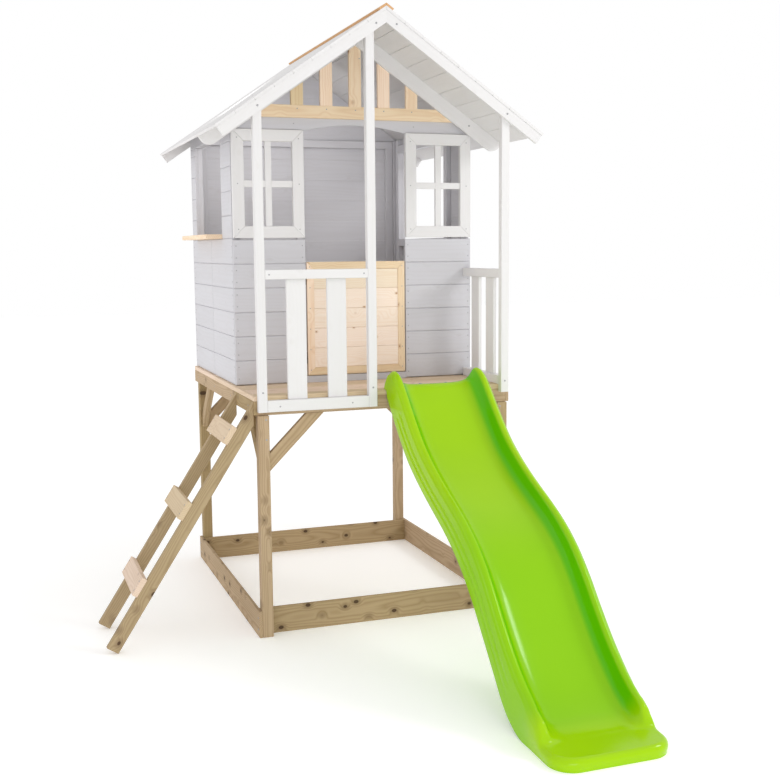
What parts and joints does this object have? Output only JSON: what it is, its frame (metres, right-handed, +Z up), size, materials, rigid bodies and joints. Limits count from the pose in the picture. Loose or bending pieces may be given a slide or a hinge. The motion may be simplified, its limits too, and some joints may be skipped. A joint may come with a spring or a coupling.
{
  "type": "raised wooden playhouse",
  "caption": "Raised timber playhouse on posts with a railed porch, hinged half door, gable roof, leaning ladder and a wavy plastic slide.",
  "frame": {"origin": "on the ground under the centre of the bounding box of the whole playhouse with its ladder and slide", "axes": "+X from the ladder side to the slide side, +Y from the porch to the rear wall, +Z up; the slide runs down towards -Y"},
  "size_m": [2.2472, 3.502, 3.0651],
  "materials": {
    "treated_pine": "sawn, pressure treated, matt",
    "natural_pine": "planed, oiled, matt",
    "white_paint": "white water-based paint, satin",
    "grey_paint": "light grey water-based paint, satin",
    "lime_plastic": "moulded, glossy",
    "screw_steel": "zinc plated, dull",
    "hinge_steel": "black powder coat"
  },
  "bodies": {
    "playhouse": {"tower_posts": "treated_pine", "ground_boards": "treated_pine", "deck_beams": "treated_pine", "deck_joists": "treated_pine", "knee_braces": "treated_pine", "deck_boards": "treated_pine", "deck_fascia": "treated_pine", "deck_edge_strips": "treated_pine", "porch_posts": "white_paint", "front_rails": "white_paint", "front_rail_slats": "white_paint", "side_rails": "white_paint", "side_rail_slats": "white_paint", "front_wall_left": "grey_paint", "front_wall_right": "grey_paint", "front_header": "grey_paint", "threshold": "grey_paint", "side_wall_left": "grey_paint", "side_wall_right": "grey_paint", "rear_wall": "grey_paint", "rear_gable": "grey_paint", "side_wall_frames": "grey_paint", "front_wall_frame": "grey_paint", "rear_wall_frame": "grey_paint", "serving_shelf": "natural_pine", "window_frame_left": "white_paint", "window_frame_right": "white_paint", "hinge_pins": "screw_steel", "hinge_wall_leaves": "hinge_steel", "gable_tie_beam": "natural_pine", "gable_slats": "natural_pine", "front_barge_boards": "white_paint", "house_barge_boards": "white_paint", "rear_barge_boards": "white_paint", "roof_boards_left": "white_paint", "roof_boards_right": "white_paint", "ridge_cap": "natural_pine", "ladder_rails": "treated_pine", "ladder_rungs": "treated_pine", "slide": "lime_plastic", "slide_bolts": "screw_steel", "white_trim_screws": "screw_steel", "front_wall_screws": "screw_steel", "side_wall_screws": "screw_steel", "window_screws": "screw_steel", "base_screws": "screw_steel", "rung_screws": "screw_steel", "gable_screws": "screw_steel"},
    "half_door": {"door_frame": "natural_pine", "door_boards": "natural_pine", "hinge_door_leaves": "hinge_steel", "door_screws": "screw_steel"}
  },
  "joints": [
    {"name": "half_door_hinge", "type": "hinge", "parent": "playhouse", "child": "half_door", "pos_m": [0.00783, 0.588, 1.538], "axis": [0, 0, 1], "range_deg": [0, 95]}
  ]
}
